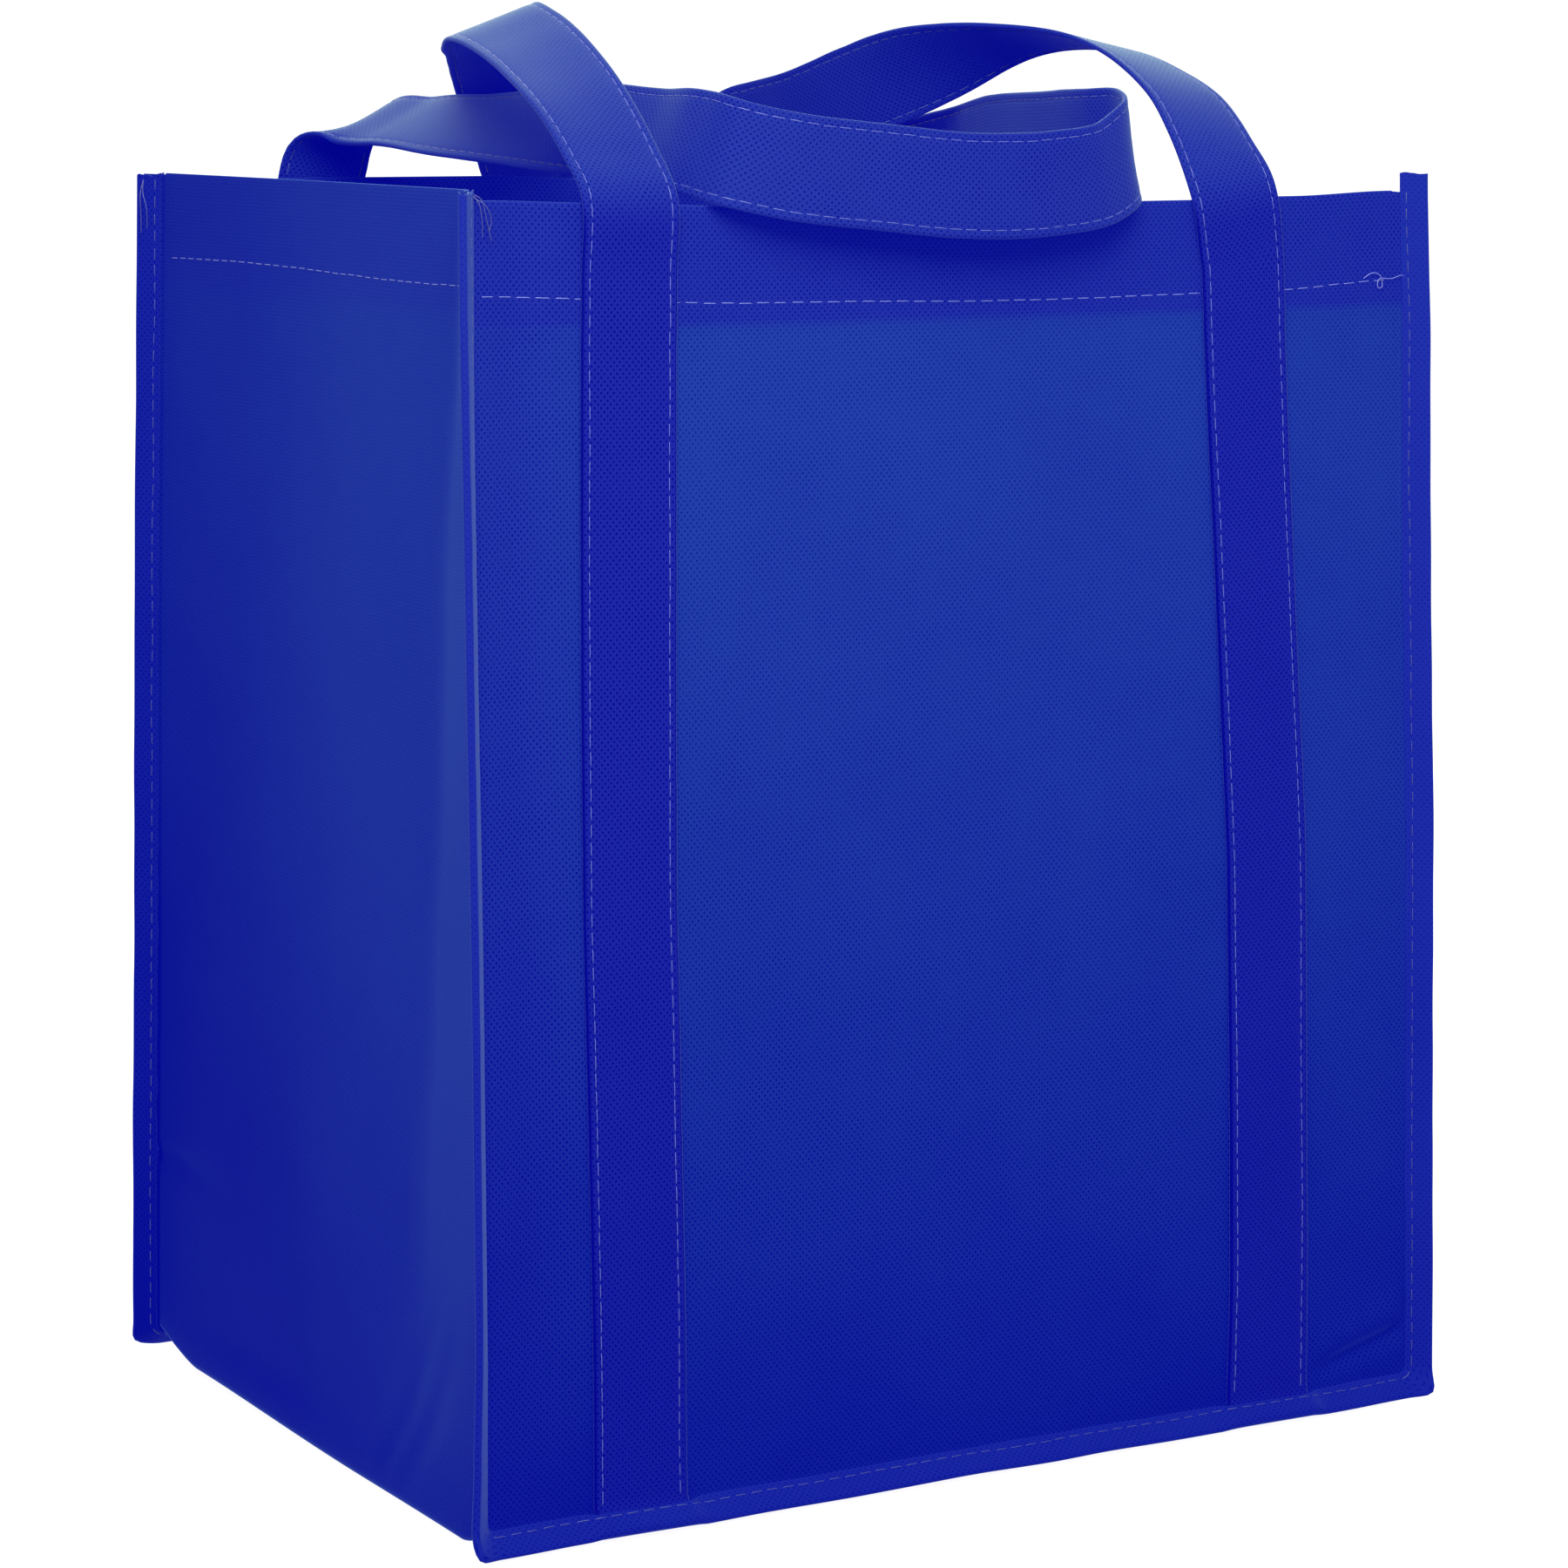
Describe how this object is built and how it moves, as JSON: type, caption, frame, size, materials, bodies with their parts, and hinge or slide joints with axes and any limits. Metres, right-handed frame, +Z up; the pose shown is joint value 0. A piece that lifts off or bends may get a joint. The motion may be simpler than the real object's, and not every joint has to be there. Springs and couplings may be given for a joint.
{
  "type": "non-woven grocery tote bag",
  "caption": "Open box-shaped cloth tote with bound seam fins, side gussets, a loose base board and long strap handles draped over its mouth.",
  "frame": {"origin": "middle of the underside, on the floor", "axes": "+Z up, +X to the right along the front panel, -Y the way the front panel faces"},
  "size_m": [0.2948, 0.2182, 0.3777],
  "materials": {
    "cloth": "matte embossed non-woven cloth",
    "tape": "matte folded binding tape",
    "strap": "matte embossed strap, stitched along both edges",
    "board": "plain stiff board"
  },
  "bodies": {
    "root": {"front_panel": "cloth", "back_panel": "cloth", "gusset": "cloth", "front_binding": "tape", "back_binding": "tape", "front_handle": "strap", "back_handle": "strap", "bottom_board": "board"}
  },
  "joints": []
}
